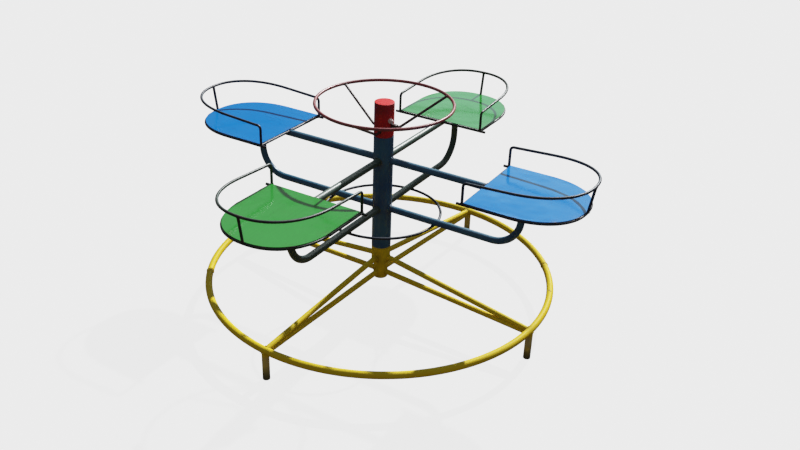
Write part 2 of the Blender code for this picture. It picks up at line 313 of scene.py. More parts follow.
# patterns on the paint: scale per metre, detail and roughness of the noise
grain = {
    "broad": (6.5, 3.0), "patches": (23.0, 3.0), "peel": (420.0, 1.0), "flakes": (95.0, 5.0, 0.62),
    "brush": (4.0, 150.0, 150.0), "strokes": (1.0, 4.0, 0.6),  # drawn out along the bar
    "peelHeight": 0.00012, "brushHeight": 0.00025, "chipHeight": 0.00025,
}

wear = {
    "rust": (0.140, 0.045, 0.015), "darkRust": (0.050, 0.020, 0.011), "dust": (0.40, 0.38, 0.33),
    "soil": (0.360, 0.335, 0.220), "mud": (0.042, 0.040, 0.024),  # dry on the legs, and dark at their feet
    "soilHeight": 0.112, "soilFade": 0.025, "splashHeight": 0.082,
    "paintedSunlight": 0.75,  # how much of the lighter colour lies on faces that look straight up, as painted sunlight
    "patchy": 0.55, "atEdges": 0.085, "atWelds": 0.055,  # where chips gather
    "chipStart": 0.10, "rustStart": 0.115, "rustFull": 0.160,
}


# paintPlace holds a bar's own coordinates, with its length along X, so that brush marks follow the bends
def wornEnamel(name, look):
    material = bpy.data.materials.new(name)
    material.use_nodes = True
    n = Nodes(material.node_tree)
    place = n.shade("Attribute", attribute_name="paintPlace")["Vector"]
    grime, edge = (n.shade("Attribute", attribute_name=label)["Fac"] for label in ("grime", "edge"))
    height = n.parts(n.shade("TexCoord")["Object"])["Z"]
    facing = n.parts(n.shade("NewGeometry")["Normal"])["Z"]
    deep, deeper = (tuple(c * share for c in look["colour"]) for share in (0.55, 0.35))
    broad, patches = n.noise(place, *grain["broad"]), n.noise(place, *grain["patches"])
    peel, flakes = n.noise(place, *grain["peel"]), n.noise(place, *grain["flakes"])
    drawn = n.shade("Mapping", {"Vector": place, "Scale": grain["brush"]})[0]
    strokes = n.noise(drawn, *grain["strokes"])

    # faces that look up take the lighter colour as painted sunlight; broad random patches of it are faded
    # paint
    paintedSunShare = n.ramp(facing, 0.55, 0.98, 0.0, wear["paintedSunlight"])
    fadeAndSunShare = n.maths("MAXIMUM", n.ramp(broad, 0.36, 0.64, 0.0, 0.6), paintedSunShare)
    colour = n.mixed(fadeAndSunShare, look["colour"], look["litAndFaded"])
    colour = n.mixed(n.ramp(strokes, 0.45, 0.75, 0.0, 0.16), colour, deep)

    worn = n.plus(flakes, n.times(n.minus(patches, 0.5), wear["patchy"]))
    worn = n.plus(worn, n.times(edge, wear["atEdges"]))
    worn = n.plus(worn, n.times(grime, wear["atWelds"]))
    begins, rusts, full = (look["chips"] + wear[key] for key in ("chipStart", "rustStart", "rustFull"))
    chipped = n.ramp(worn, begins, rusts)
    bare = n.mixed(n.ramp(flakes, 0.55, 0.75), wear["rust"], wear["darkRust"])
    under = n.mixed(n.ramp(worn, rusts, full), look["under"], bare)

    stain = n.times(grime, n.ramp(patches, 0.38, 0.66, 0.0, look["stain"]))
    colour = n.mixed(stain, colour, n.mixed(0.6, wear["rust"], deeper))
    colour = n.mixed(chipped, colour, under)
    settled = n.ramp(broad, 0.35, 0.70, look["dust"] * 0.2, look["dust"])
    dusty = n.times(n.ramp(facing, 0.25, 0.95), settled)
    colour = n.mixed(dusty, colour, wear["dust"])
    soiled = n.ramp(height, wear["soilHeight"], wear["soilHeight"] - wear["soilFade"])
    soiled = n.times(soiled, n.ramp(patches, 0.30, 0.62, 0.30, 0.60))
    colour = n.mixed(n.times(soiled, look["splash"]), colour, wear["soil"])
    low = n.ramp(height, wear["splashHeight"], 0.0)
    splashed = n.times(low, n.ramp(n.plus(patches, n.times(low, 0.45)), 0.45, 0.65))
    splashed = n.times(splashed, look["splash"], clamp=True)
    colour = n.mixed(splashed, colour, wear["mud"])

    rough = n.plus(look["roughness"], n.times(n.minus(broad, 0.5), look["spread"]))
    rough = n.plus(rough, n.times(chipped, 0.42))
    rough = n.plus(rough, n.times(n.plus(splashed, stain), 0.35))
    rough = n.plus(rough, n.times(dusty, 0.8), clamp=True)

    bumps = (
        ("peelHeight", peel, 0.30 * look["relief"]), ("brushHeight", strokes, 0.35 * look["relief"]),
        ("chipHeight", n.minus(1.0, chipped), 0.8))
    below = {}
    for label, pattern, strength in bumps:
        inputs = {"Height": pattern, "Strength": strength, "Distance": grain[label], **below}
        below = {"Normal": n.shade("Bump", inputs)[0]}
    shader = n.tree.nodes["Principled BSDF"].inputs
    shader["Specular IOR Level"].default_value = look["gloss"]
    for label, value in {"Base Color": colour, "Roughness": rough, **below}.items():
        n.tree.links.new(value, shader[label])
    return material


enamel = {name: wornEnamel(name, {**usualPaint, **look}) for name, look in paints.items()}
print("paints mixed:", len(enamel))


# Geometry node trees: a round bar swept along a path, a weld laid along a path, and a seat plate

def startTree(name, numbers, counts):
    tree = bpy.data.node_groups.new(name, "GeometryNodeTree")
    kinds = {"Geometry": "Geometry", **dict.fromkeys(numbers, "Float"), **dict.fromkeys(counts, "Int")}
    for label, kind in {**kinds, "Paint": "Material"}.items():
        tree.interface.new_socket(label, in_out="INPUT", socket_type="NodeSocket" + kind)
    tree.interface.new_socket("Geometry", in_out="OUTPUT", socket_type="NodeSocketGeometry")
    n = Nodes(tree)
    return n, n.add("NodeGroupInput")


def endTree(n, geometry, given):
    real = n.geo("RealizeInstances", {"Geometry": geometry})[0]
    dressed = n.geo("SetMaterial", {"Geometry": real, "Material": given["Paint"]})[0]
    n.add("NodeGroupOutput", {"Geometry": dressed})
    return n.tree


lumps = (38.0, 2.0)  # scale and detail of the unevenness of a bar's skin


def barTree():
    n, given = startTree("roundBar", ("Radius", "Step", "Unevenness", "Pattern Shift"), ("Sides",))
    path = n.geo("ResampleCurve", {"Curve": given["Geometry"], "Length": given["Step"]}, mode="LENGTH")[0]
    path = n.captured(path, along=("FLOAT", n.geo("SplineParameter")["Length"]))
    circle = n.geo("CurvePrimitiveCircle", {"Resolution": given["Sides"], "Radius": given["Radius"]})[0]
    circle = n.captured(circle, around=("VECTOR", n.position()))
    swept = n.geo("CurveToMesh", {
        "Curve": path["Geometry"], "Profile Curve": circle["Geometry"], "Fill Caps": True,
        "Scale": n.geo("InputRadius")[0]})[0]
    ring = n.parts(circle["around"])
    place = n.combined(n.plus(path["along"], given["Pattern Shift"]), ring["X"], ring["Y"])
    rise = n.times(n.minus(n.noise(place, *lumps), 0.5), given["Unevenness"])
    push = n.scaled(n.geo("InputNormal")[0], rise)
    marked = n.stored(swept, "paintPlace", place)
    moved = n.geo("SetPosition", {"Geometry": marked, "Offset": push})[0]
    return endTree(n, n.smoothed(moved), given)


bead = {"spacing": 0.0019, "segments": 8, "rings": 5, "sizes": (0.84, 1.14), "wander": 0.12, "flat": 0.72}


def weldTree():
    n, given = startTree("weldBead", ("Spacing",), ("Seed",))
    points = n.geo("CurveToPoints", {"Curve": given["Geometry"], "Length": given["Spacing"]}, mode="LENGTH")
    drop = n.geo("MeshUVSphere", {"Segments": bead["segments"], "Rings": bead["rings"], "Radius": 1.0})[0]
    least, most = bead["sizes"]
    inputs = {2: least, 3: most, "Seed": given["Seed"]}
    size = n.add("FunctionNodeRandomValue", inputs, data_type="FLOAT")[1]
    size = n.times(size, n.geo("InputRadius")[0])
    inputs = {0: (-bead["wander"],) * 3, 1: (bead["wander"],) * 3, "Seed": given["Seed"]}
    wander = n.add("FunctionNodeRandomValue", inputs, data_type="FLOAT_VECTOR")[0]
    strewn = n.geo("SetPosition", {"Geometry": points["Points"], "Offset": n.scaled(wander, size)})[0]
    laid = n.geo("InstanceOnPoints", {
        "Points": strewn, "Instance": n.smoothed(drop), "Rotation": points["Rotation"],
        "Scale": n.scaled((1.0, 1.0, bead["flat"]), size)})[0]
    real = n.geo("RealizeInstances", {"Geometry": laid})[0]
    return endTree(n, n.stored(real, "paintPlace", n.position()), given)


plateMesh = {"rows": 52, "columns": 72, "worn": 0.482, "held": 0.36, "dents": (7.0, 2.0), "merge": 0.00002}


def plateTree():
    n, given = startTree("seatPlate", (
        "Inner Edge", "Straight End", "Outer End", "Half Width", "Roundness", "Underside", "Thickness",
        "Dents", "Turn", "Pattern Shift"), ())
    grid = n.geo("MeshGrid", {
        "Size X": 1.0, "Size Y": 1.0, "Vertices X": plateMesh["rows"], "Vertices Y": plateMesh["columns"]})[0]
    spot = n.parts(n.position())
    angle = n.times(spot["Y"], pi)
    power = n.maths("DIVIDE", 2.0, given["Roundness"])
    reach = n.maths("POWER", n.maths("ABSOLUTE", n.maths("COSINE", angle)), power)
    sine = n.maths("SINE", angle)
    swing = n.times(n.maths("SIGN", sine), n.maths("POWER", n.maths("ABSOLUTE", sine), power))
    bulge = n.times(n.minus(given["Outer End"], given["Straight End"]), reach)
    width = n.minus(n.plus(given["Straight End"], bulge), given["Inner Edge"])
    x = n.plus(given["Inner Edge"], n.times(width, n.plus(spot["X"], 0.5)))
    y = n.times(given["Half Width"], swing)
    flat = n.combined(n.plus(x, given["Pattern Shift"]), y)
    rim = n.maths("MAXIMUM", n.maths("ABSOLUTE", spot["X"]), n.maths("ABSOLUTE", spot["Y"]))
    edge = n.ramp(rim, plateMesh["worn"], 0.5)
    dents = n.minus(n.noise(flat, *plateMesh["dents"]), 0.5)
    dents = n.times(dents, n.ramp(rim, 0.5, plateMesh["held"]))
    z = n.plus(given["Underside"], n.times(dents, given["Dents"]))

    kept = n.captured(grid, flat=("VECTOR", flat), edge=("FLOAT", edge))
    shaped = n.geo("SetPosition", {"Geometry": kept["Geometry"], "Position": n.combined(x, y, z)})[0]
    marked = n.stored(shaped, "paintPlace", kept["flat"])
    marked = n.stored(marked, "edge", kept["edge"], "FLOAT")
    raised = n.geo("ExtrudeMesh", {
        "Mesh": marked, "Offset": n.combined(z=given["Thickness"]), "Offset Scale": 1.0,
        "Individual": False}, mode="FACES")[0]
    joined = n.tree.nodes.new("GeometryNodeJoinGeometry")
    for side in (raised, n.geo("FlipFaces", {"Mesh": marked})[0]):
        n.tree.links.new(side, joined.inputs[0])
    closed = n.geo("MergeByDistance", {"Geometry": joined.outputs[0], "Distance": plateMesh["merge"]})[0]
    turned = n.geo("Transform", {"Geometry": closed, "Rotation": n.combined(z=given["Turn"])})[0]
    return endTree(n, n.smoothed(turned), given)


roundBar = barTree()
weldBead = weldTree()
seatPlate = plateTree()
print("geometry node trees built")


# Making pieces

pieceBodies = {"base": [], "rotor": []}  # finished pieces, so that grime can be spread from the welds
weldSpots = {"base": [], "rotor": []}  # points along every weld of a body
creaseAngle = 38.0
bevelAngle = 60.0

# where each piece's paint pattern starts along X, so that no two show the same chips, and seeds of the beads
shifts = {
    "baseRing": 0, "leg": 20, "strut": 30, "post": 50, "collar": 55, "redTop": 60, "wheel": 64, "spoke": 67,
    "column": 80, "footRing": 84, "upperArm": 90, "lowerArm": 100, "frame": 120, "rail": 135,
    "backPost": 150, "plate": 5}
seeds = {"base": 11, "wheel": 21, "arm": 30, "seat": 50}


def pathObject(name, paths, closed=False):
    # each path is a list of (point, size), where size scales the bar or is the radius of the bead
    data = bpy.data.curves.new(name, "CURVE")
    data.dimensions = "3D"
    for path in paths:
        spline = data.splines.new("POLY")
        spline.points.add(len(path) - 1)
        spline.use_cyclic_u = closed
        for place, (point, size) in zip(spline.points, path):
            place.co = (*point, 1)
            place.radius = size
    return linked(name, data)


def grown(source, name, tree, values):
    names = {item.name: item.identifier for item in tree.interface.items_tree if item.in_out == "INPUT"}
    modifier = source.modifiers.new("shape", "NODES")
    modifier.node_group = tree
    for label, value in values.items():
        modifier[names[label]] = value
    bpy.context.view_layer.update()
    graph = bpy.context.evaluated_depsgraph_get()
    mesh = bpy.data.meshes.new_from_object(source.evaluated_get(graph), depsgraph=graph)
    bpy.data.objects.remove(source, do_unlink=True)
    mesh.name = name
    return linked(name, mesh)


def painted(name, mesh, paint, places):
    # a mesh made without a node tree gets its paint, and places for the paint's pattern
    mesh.shade_smooth()
    mesh.materials.append(enamel[paint])
    pattern = mesh.attributes.new("paintPlace", "FLOAT_VECTOR", "POINT")
    pattern.data.foreach_set("vector", places.astype(np.float32).ravel())
    return linked(name, mesh)


def keepPiece(obj, body, slotName, *nodes):
    obj.data.set_sharp_from_angle(angle=radians(creaseAngle))
    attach(obj, body)
    if nodes:
        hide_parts(*nodes)
    pieceBodies[body].append(obj)


def softenEnds(obj, width):
    rounded = obj.modifiers.new("soft_edge", "BEVEL")
    rounded.width = width
    rounded.segments = 2
    rounded.limit_method = "ANGLE"
    rounded.angle_limit = radians(bevelAngle)


def turnPoint(point, angle):
    c, s = cos(angle), sin(angle)
    return Vector((point[0] * c - point[1] * s, point[0] * s + point[1] * c, point[2]))


def turnRun(points, angle):
    return [turnPoint(point, angle) for point in points]


def fullTurn(count):
    return np.linspace(0, 2 * pi, count, endpoint=False)


def circlePoints(radius, height, count):
    return [Vector((radius * cos(a), radius * sin(a), height)) for a in fullTurn(count)]


def makeBar(name, runs, look, shift, closed=False):
    # runs has a list of points for each length of bar
    source = pathObject(name + "_path", [[(point, 1.0) for point in run] for run in runs], closed)
    return grown(source, name, roundBar, {
        "Radius": look["radius"], "Step": look["step"], "Sides": look["sides"],
        "Unevenness": look["unevenness"], "Pattern Shift": float(shift), "Paint": enamel[look["paint"]]})


def bend(before, corner, after, radius, steps):
    back, onward = (before - corner).normalized(), (after - corner).normalized()
    half = back.angle(onward) / 2
    centre = corner + (back + onward).normalized() * (radius / sin(half))
    first = corner + back * (radius / tan(half)) - centre
    last = corner + onward * (radius / tan(half)) - centre
    sweep = first.angle(last)
    arc = []
    for step in range(steps + 1):
        share = step / steps
        mix = first * sin((1 - share) * sweep) + last * sin(share * sweep)
        arc.append(centre + mix / sin(sweep))
    return arc


def turnedPiece(name, profile, paint, shift, closed=True, sides=96, pitch=0.010):
    # a profile of (radius, height) points turned about the axis, with rows close enough to carry grime
    rows = []
    count = len(profile) if closed else len(profile) - 1
    for index in range(count):
        start, end = Vector(profile[index]), Vector(profile[(index + 1) % len(profile)])
        pieces = max(1, round((end - start).length / pitch))
        rows += [start.lerp(end, piece / pieces) for piece in range(pieces)]
    if not closed:
        rows.append(Vector(profile[-1]))
    angles = fullTurn(sides)
    vertices = [(row.x * cos(a), row.x * sin(a), row.y) for row in rows for a in angles]
    faces = []
    for index in range(len(rows) if closed else len(rows) - 1):
        one, two = index * sides, (index + 1) % len(rows) * sides
        faces += [(one + k, one + (k + 1) % sides, two + (k + 1) % sides, two + k) for k in range(sides)]
    mesh = bpy.data.meshes.new(name)
    mesh.from_pydata(vertices, [], faces)
    work = bmesh.new()
    work.from_mesh(mesh)
    bmesh.ops.remove_doubles(work, verts=work.verts, dist=0.000001)
    bmesh.ops.recalc_face_normals(work, faces=work.faces)
    work.to_mesh(mesh)
    work.free()
    places = np.array([vertex.co for vertex in mesh.vertices])[:, [2, 0, 1]] + (shift, 0, 0)
    return painted(name, mesh, paint, places)


def tubeProfile(outer, wall, nick, low, high):
    # an upright tube with a chamfered lower end
    hollow = outer - wall
    return [
        (outer, high), (outer, low + nick), (outer - nick, low), (hollow + nick, low), (hollow, low + nick),
        (hollow, high)]


# Where welds run

skinDepth = 0.985  # a bead's middle lies a little inside the bar's skin


def skinCurve(start, end, radius, surface, count=40):
    # the closed line where a bar meets a surface, a distance function that is below zero inside
    run = end - start
    side = run.orthogonal().normalized()
    other = run.normalized().cross(side)
    line = []
    for angle in fullTurn(count):
        offset = (side * cos(angle) + other * sin(angle)) * radius * skinDepth
        near, far = 0.0, 1.0
        for _ in range(22):
            middle = (near + far) / 2
            if surface(start + offset + run * middle) > 0:
                near = middle
            else:
                far = middle
        line.append(start + offset + run * near)
    return line


def weldRound(start, end, radius, surface, size):
    return skinCurve(start, end, radius, surface), size, True


def rodWeld(start, end, surface, size):
    return skinCurve(start, end, rodRadius, surface, 24), size, True


def upright(radius):
    return lambda p: hypot(p.x, p.y) - radius


def hoop(radius, height, rod):
    return lambda p: hypot(hypot(p.x, p.y) - radius, p.z - height) - rod


def straight(start, end, radius):
    way = (end - start).normalized()
    return lambda p: (p - start).cross(way).length - radius


def addWelds(name, body, slotName, paint, welds, seed, turn=0.0):
    # welds is a list of (points, bead radius, closed)
    loops = []
    for points, size, closed in welds:
        points = turnRun(points, turn)
        weldSpots[body].extend(points)
        loops.append([(p, size) for p in (points + points[:1] if closed else points)])
    source = pathObject(name + "_path", loops)
    values = {"Spacing": bead["spacing"], "Seed": seed, "Paint": enamel[paint]}
    keepPiece(grown(source, name, weldBead, values), body, slotName)


# The yellow base

quarters = [radians(90 * index) for index in range(4)]
legTurn = radians(-4.0)
pipeRadius = 0.01345
rodRadius = 0.005
sunk = 0.002  # how far a bar's end runs into what carries it
running = 0.0003  # clearance round the post

ringLow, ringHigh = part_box("base_ring")
ringHeight = (ringLow.z + ringHigh.z) / 2
ringRadius = ringHigh.x - pipeRadius
onRing = hoop(ringRadius, ringHeight, pipeRadius)
columnLow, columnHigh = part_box("column")
columnRadius = columnHigh.x
postLow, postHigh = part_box("centre_post")
postRadius = postHigh.x
collarLow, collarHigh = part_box("bearing_collar")

baseRing = {
    "radius": pipeRadius, "step": 0.010, "sides": 24, "unevenness": 0.0007, "paint": "yellowEnamel",
    "points": 480, "seams": (38.0, 214.0), "seamBead": 0.0022}
legPipe = {"wall": 0.0026, "chamfer": 0.0005, "sides": 32, "pitch": 0.008}
bigTube = {"wall": 0.0035, "chamfer": 0.0008}  # the post and the column, and the wall of the red top
collar = {"radius": 0.0375, "shoulder": 0.244, "washer": 0.0355, "chamfer": 0.0012}
strutPipe = {
    "radius": 0.01065, "step": 0.008, "sides": 20, "unevenness": 0.0006, "paint": "yellowEnamel",
    # the radius and height where each kind starts, and how far below and short of the ring's middle it ends
    "upper": (collar["radius"], 0.202, 0, 0.004), "lower": (postRadius, 0.132, 0.0105, 0.006),
    "toAxis": 0.04}  # a weld's core on the axis lies this share of the drop higher
pipeBead = 0.003


def seamWelds():
    welds = []
    for angle in baseRing["seams"]:
        centre = turnPoint((ringRadius, 0, ringHeight), radians(angle))
        out = Vector((centre.x, centre.y, 0)).normalized()
        ways = [out * cos(a) + Vector((0, 0, sin(a))) for a in fullTurn(40)]
        welds.append(([centre + way * pipeRadius for way in ways], baseRing["seamBead"], True))
    return welds


def makeStrut(kind, number, turn):
    # an upper strut runs from the collar and a lower one from the post, both to the ring
    meets, height, drop, short = strutPipe[kind]
    outerHeight = ringHeight - drop
    start = turnPoint((meets - sunk, 0, height), turn)
    end = turnPoint((ringRadius, 0, outerHeight), turn)
    stop = end - (end - start).normalized() * short
    shift = shifts["strut"] + number * 3 + meets * 40
    bar = makeBar(f"{kind}_strut_pipe_{number}", [[start, stop]], strutPipe, shift)
    keepPiece(bar, "base", "yellow_paint", f"{kind}_strut_{number}")
    middle = start.lerp(end, 0.5)
    core = Vector((0, 0, height + (height - outerHeight) * strutPipe["toAxis"]))
    return [
        weldRound(middle, end, strutPipe["radius"], onRing, pipeBead),
        weldRound(middle, core, strutPipe["radius"], upright(meets), pipeBead)]


def makeBase():
    ring = circlePoints(ringRadius, ringHeight, baseRing["points"])
    ringPipe = makeBar("base_ring_pipe", [ring], baseRing, shifts["baseRing"], closed=True)
    keepPiece(ringPipe, "base", "yellow_paint", "base_ring")
    welds = seamWelds()
    profile = tubeProfile(pipeRadius, legPipe["wall"], legPipe["chamfer"], 0, ringHeight)
    for number, quarter in enumerate(quarters, 1):
        turn = quarter + legTurn
        shift = shifts["leg"] + number
        leg = turnedPiece(
            f"leg_pipe_{number}", profile, "yellowEnamel", shift, True, legPipe["sides"], legPipe["pitch"])
        foot = turnPoint((ringRadius, 0, 0), turn)
        leg.data.transform(Matrix.Translation(foot))
        keepPiece(leg, "base", "yellow_paint", f"leg_{number}")
        low, high = foot + Vector((0, 0, 0.05)), foot + Vector((0, 0, ringHeight))
        welds.append(weldRound(low, high, pipeRadius, onRing, pipeBead))
        welds += makeStrut("upper", number, turn) + makeStrut("lower", number, turn)
    addWelds("base_welds", "base", "yellow_paint", "yellowEnamel", welds, seeds["base"])

    profile = tubeProfile(postRadius, bigTube["wall"], bigTube["chamfer"], postLow.z, postHigh.z)
    post = turnedPiece("centre_post_tube", profile, "yellowEnamel", shifts["post"])
    keepPiece(post, "base", "yellow_paint", "centre_post")
    bore, nick, radius = postRadius + running, collar["chamfer"], collar["radius"]
    washer, shoulder = collar["washer"], collar["shoulder"]
    profile = [
        (washer, collarHigh.z), (washer, shoulder), (radius - nick, shoulder), (radius, shoulder - nick),
        (radius, collarLow.z + nick), (radius - nick, collarLow.z), (bore, collarLow.z), (bore, collarHigh.z)]
    sleeve = turnedPiece("bearing_collar_ring", profile, "yellowEnamel", shifts["collar"])
    keepPiece(sleeve, "base", "yellow_paint", "bearing_collar")


# The red top and its handwheel

topLow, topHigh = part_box("red_top")
wheelLow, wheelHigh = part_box("handwheel_ring")
redTop = {"plate": 0.005, "round": 0.0022, "skirt": 0.725, "skirtEdge": 0.0006, "bush": 0.750}
wheelBar = {
    "radius": 0.006, "step": 0.004, "sides": 16, "unevenness": 0.0005, "paint": "wheelEnamel", "points": 400}
spokeBar = {
    "radius": rodRadius, "step": 0.003, "sides": 14, "unevenness": 0.0004, "paint": "darkRedEnamel",
    "height": 0.745, "foot": 0.067, "bend": 0.018, "turns": (54, 159, 277), "inRim": 0.0015, "footBead": 1.4}
lockNut = {
    "angle": -21.0, "height": 0.789, "across": 0.017, "thick": 0.0075, "dome": 0.0066, "washer": 0.0105,
    "washerThick": 0.002, "round": 0.0005}
lockLug = {
    "angle": -8.0, "height": 0.769, "reach": 0.064, "deep": 0.015, "wide": 0.014, "round": 0.0016,
    "rooted": 0.0015}
letIn = 0.0006  # how far both lie in the round side of the red top
rodBead = 0.002


def makeTop():
    radius, nick, edge = columnRadius, redTop["round"], redTop["skirtEdge"]
    inner, bore, ceiling = radius - bigTube["wall"], postRadius + running, topHigh.z - redTop["plate"]
    arc = np.linspace(0, pi / 2, 5)
    lip = [(radius - nick + nick * sin(a), topHigh.z - nick + nick * cos(a)) for a in arc]
    profile = [
        (0.0, topHigh.z), *lip, (radius, redTop["skirt"] + edge), (radius - edge, redTop["skirt"]),
        (collar["washer"], redTop["skirt"]), (collar["washer"], topLow.z), (bore, topLow.z),
        (bore, redTop["bush"]), (inner, redTop["bush"]), (inner, ceiling), (0.0, ceiling)]
    top = turnedPiece("red_top_cap", profile, "redEnamel", shifts["redTop"], closed=False)
    keepPiece(top, "base", "red_paint", "red_top")

    wheelHeight = (wheelLow.z + wheelHigh.z) / 2
    wheelRadius = wheelHigh.x - wheelBar["radius"]
    rim = circlePoints(wheelRadius, wheelHeight, wheelBar["points"])
    wheel = makeBar("handwheel_rim", [rim], wheelBar, shifts["wheel"], closed=True)
    keepPiece(wheel, "base", "red_paint", "handwheel_ring")
    onRim = hoop(wheelRadius, wheelHeight, wheelBar["radius"])
    welds = []
    for number, degrees in enumerate(spokeBar["turns"], 1):
        foot = Vector((radius - sunk, 0, spokeBar["height"]))
        corner = Vector((spokeBar["foot"], 0, spokeBar["height"]))
        tip = Vector((wheelRadius, 0, wheelHeight))
        end = tip - (tip - corner).normalized() * (wheelBar["radius"] - spokeBar["inRim"])
        turn = radians(degrees)
        points = turnRun((foot, *bend(foot, corner, end, spokeBar["bend"], 10), end), turn)
        spoke = makeBar(f"handwheel_spoke_bar_{number}", [points], spokeBar, shifts["spoke"] + number)
        keepPiece(spoke, "base", "red_paint", f"handwheel_spoke_{number}")
        core = turnPoint((0, 0, spokeBar["height"]), turn)
        welds.append(rodWeld(points[1], core, upright(radius), rodBead * spokeBar["footBead"]))
        welds.append(rodWeld(points[-2], turnPoint(tip, turn), onRim, rodBead))
    addWelds("handwheel_welds", "base", "red_paint", "darkRedEnamel", welds, seeds["wheel"])
    makeLock()


def makeLock():
    # a cap nut on the bolt that locks the red top to the post, bright in the photograph
    work = bmesh.new()
    base = 0.0
    for radius, depth, sides in (
            (lockNut["washer"], lockNut["washerThick"], 32),
            (lockNut["across"] / sqrt(3), lockNut["thick"], 6)):
        made = bmesh.ops.create_cone(
            work, cap_ends=True, segments=sides, radius1=radius, radius2=radius, depth=depth)
        bmesh.ops.translate(work, verts=made["verts"], vec=(0, 0, base + depth / 2))
        base += depth
    rims = [e for e in work.edges if e.calc_face_angle(0) > 0.5 and max(v.co.z for v in e.verts) > 0.001]
    bmesh.ops.bevel(work, geom=rims, offset=lockNut["round"], segments=2, affect="EDGES", profile=0.5)
    dome = bmesh.ops.create_uvsphere(work, u_segments=24, v_segments=12, radius=lockNut["dome"])
    bmesh.ops.translate(work, verts=dome["verts"], vec=(0, 0, base))
    placeFitting(work, "lock_nut", lockNut, "boltEnamel")

    # and the dark lug under it
    work = bmesh.new()
    long = lockLug["reach"] - columnRadius + sunk
    shape = Matrix.Diagonal((lockLug["wide"], lockLug["deep"], long, 1))
    shape = Matrix.Translation((0, 0, long / 2 - lockLug["rooted"])) @ shape
    bmesh.ops.create_cube(work, size=1.0, matrix=shape)
    bmesh.ops.bevel(
        work, geom=work.edges[:], offset=lockLug["round"], segments=3, affect="EDGES", profile=0.5)
    placeFitting(work, "lock_lug", lockLug, "darkRedEnamel")


def placeFitting(work, name, look, paint):
    # a fitting built along Z is laid against the round side of the red top
    mesh = bpy.data.meshes.new(name)
    work.to_mesh(mesh)
    work.free()
    angle = radians(look["angle"])
    out = Vector((cos(angle), sin(angle), 0))
    place = out.to_track_quat("Z", "Y").to_matrix().to_4x4()
    place.translation = out * (columnRadius - letIn) + Vector((0, 0, look["height"]))
    mesh.transform(place)
    obj = painted(name, mesh, paint, np.array([vertex.co for vertex in mesh.vertices]))
    keepPiece(obj, "base", "red_paint")


# The turning column, its arms and the foot ring

armLow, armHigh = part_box("upper_arm_1")
armLevel = (armLow.z + armHigh.z) / 2
footLow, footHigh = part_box("foot_ring")
armPipe = {
    "radius": pipeRadius, "step": 0.007, "sides": 24, "unevenness": 0.0006, "low": 0.420, "riser": 0.585,
    "bend": 0.110, "short": 0.004,
    "cut": 0.024}  # the end stays out of sight under the seat
footBar = {
    "radius": rodRadius, "step": 0.004, "sides": 14, "unevenness": 0.0004, "paint": "navyRodEnamel",
    "points": 360, "tack": 0.007}
armPaints = ("navyEnamel", "darkGreenEnamel")
armSlots = ("navy_paint", "dark_green_paint")


def makeColumn():
    outer, nick, top, bottom = columnRadius, bigTube["chamfer"], columnHigh.z, columnLow.z
    inner = outer - bigTube["wall"]
    profile = [
        (outer - nick, top), (outer, top - nick), (outer, bottom + nick), (outer - nick, bottom),
        (inner, bottom), (inner, top)]
    tube = turnedPiece("column_tube", profile, "navyEnamel", shifts["column"])
    keepPiece(tube, "rotor", "navy_paint", "column")
    footHeight = (footLow.z + footHigh.z) / 2
    footRadius = footHigh.x - rodRadius
    circle = circlePoints(footRadius, footHeight, footBar["points"])
    footRing = makeBar("foot_ring_bar", [circle], footBar, shifts["footRing"], closed=True)
    keepPiece(footRing, "rotor", "navy_paint", "foot_ring")
    for number, turn in enumerate(quarters, 1):
        makeArm(number, turn, footRadius, footHeight)


def makeArm(number, turn, footRadius, footHeight):
    kind = (number - 1) % 2
    look = dict(armPipe, paint=armPaints[kind])
    level, riser = armPipe["low"], armPipe["riser"]
    start = Vector((columnRadius - sunk, 0, armLevel))
    end = Vector((armHigh.x - armPipe["cut"], 0, armLevel))
    shift = shifts["upperArm"] + number * 2
    upper = makeBar(f"upper_arm_pipe_{number}", [turnRun((start, end), turn)], look, shift)
    keepPiece(upper, "rotor", armSlots[kind], f"upper_arm_{number}")

    foot, corner = Vector((columnRadius - sunk, 0, level)), Vector((riser, 0, level))
    top = Vector((riser, 0, armLevel - armPipe["short"]))
    points = turnRun((foot, *bend(foot, corner, top, armPipe["bend"], 28), top), turn)
    lower = makeBar(f"lower_arm_pipe_{number}", [points], look, shifts["lowerArm"] + number * 2)
    keepPiece(lower, "rotor", armSlots[kind], f"lower_arm_{number}")

    onColumn, onArm = upright(columnRadius), straight(start, end, pipeRadius)
    welds = [
        weldRound(Vector((0.20, 0, z)), Vector((0, 0, z)), pipeRadius, onColumn, pipeBead)
        for z in (armLevel, level)]
    low, high = Vector((riser, 0, level + 0.12)), Vector((riser, 0, armLevel))
    welds.append(weldRound(low, high, pipeRadius, onArm, pipeBead))
    for side in (-1, 1):
        # a short bead on each side of the foot ring where it crosses the arm
        x, z = footRadius + side * rodRadius * 0.9, footHeight + rodRadius * 0.75
        tack = [Vector((x, y, z)) for y in np.linspace(-footBar["tack"], footBar["tack"], 6)]
        welds.append((tack, rodBead, False))
    seed = seeds["arm"] + number
    addWelds(f"arm_welds_{number}", "rotor", armSlots[kind], armPaints[kind], welds, seed, turn)


# The seats

